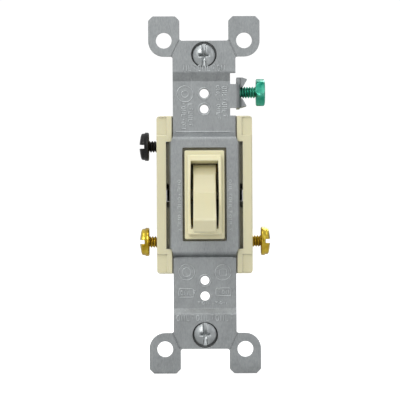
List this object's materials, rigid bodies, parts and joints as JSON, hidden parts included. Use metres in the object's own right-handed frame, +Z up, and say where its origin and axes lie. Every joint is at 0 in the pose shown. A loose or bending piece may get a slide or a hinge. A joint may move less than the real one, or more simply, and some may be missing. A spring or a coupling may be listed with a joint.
{
  "type": "toggle wall switch",
  "caption": "Three-way framed toggle wall switch: steel strap with plaster ears, ivory housing and bezel, lever down, backed-out side screws and a green ground screw.",
  "frame": {"origin": "midway between the two tapped cover-plate holes, which is also midway between the two box-mounting screws, on the back face of the strap's ears", "axes": "+Z up the strap, +X to the right seen from the front, +Y back into the wall; the lever points to -Y and down"},
  "size_m": [0.0395, 0.0449, 0.1062],
  "materials": {
    "galvanised_steel": "satin, rolled grain",
    "ivory_plastic": "semi-gloss moulding",
    "lever_plastic": "smooth semi-gloss moulding",
    "brass": "rolled sheet",
    "brass_screw": "bright, turned",
    "silver": "satin",
    "spring_steel": "drawn",
    "black_screw": "black oxide",
    "green_screw": "green dyed zinc",
    "zinc_screw": "bright zinc",
    "fibre": "vulcanised fibre"
  },
  "bodies": {
    "frame": {"strap": "galvanised_steel", "front_cover": "ivory_plastic", "back_housing": "ivory_plastic", "upper_fixed_contact": "silver", "lower_fixed_contact": "silver", "common_terminal": "brass", "traveler_terminal_left": "brass", "traveler_terminal_right": "brass", "common_wire_clip": "spring_steel", "traveler_wire_clip_left": "spring_steel", "traveler_wire_clip_right": "spring_steel", "screw_retainer_top": "fibre", "screw_retainer_bottom": "fibre"},
    "toggle": {"toggle_lever": "lever_plastic", "toggle_spring": "spring_steel"},
    "rocker": {"contact_rocker": "brass", "moving_contacts": "silver"},
    "common": {"common_screw": "black_screw"},
    "traveler_left": {"traveler_screw_left": "brass_screw"},
    "traveler_right": {"traveler_screw_right": "brass_screw"},
    "ground": {"ground_screw": "green_screw"},
    "mount_top": {"mounting_screw_top": "zinc_screw"},
    "mount_bottom": {"mounting_screw_bottom": "zinc_screw"}
  },
  "joints": [
    {"name": "toggle_flip", "type": "hinge", "parent": "frame", "child": "toggle", "pos_m": [0, 0.0045, 0], "axis": [-1, 0, 0], "range_deg": [0, 42], "deforming": ["toggle_spring"]},
    {"name": "rocker_tilt", "type": "hinge", "parent": "frame", "child": "rocker", "pos_m": [0, 0.0201, 0], "axis": [-1, 0, 0], "range_deg": [0, 12]},
    {"name": "common_screw_travel", "type": "slide", "parent": "frame", "child": "common", "axis": [1, 0, 0], "range_m": [0, 0.0052]},
    {"name": "traveler_screw_left_travel", "type": "slide", "parent": "frame", "child": "traveler_left", "axis": [1, 0, 0], "range_m": [0, 0.0052]},
    {"name": "traveler_screw_right_travel", "type": "slide", "parent": "frame", "child": "traveler_right", "axis": [-1, 0, 0], "range_m": [0, 0.0054]},
    {"name": "ground_screw_travel", "type": "slide", "parent": "frame", "child": "ground", "axis": [-1, 0, 0], "range_m": [0, 0.0025]},
    {"name": "mounting_screw_top_travel", "type": "slide", "parent": "frame", "child": "mount_top", "axis": [0, -1, 0], "range_m": [0, 0.012]},
    {"name": "mounting_screw_bottom_travel", "type": "slide", "parent": "frame", "child": "mount_bottom", "axis": [0, -1, 0], "range_m": [0, 0.012]}
  ],
  "couplings": [
    {"joint": "rocker_tilt", "follows": "toggle_flip", "ratio": 0.2857}
  ]
}
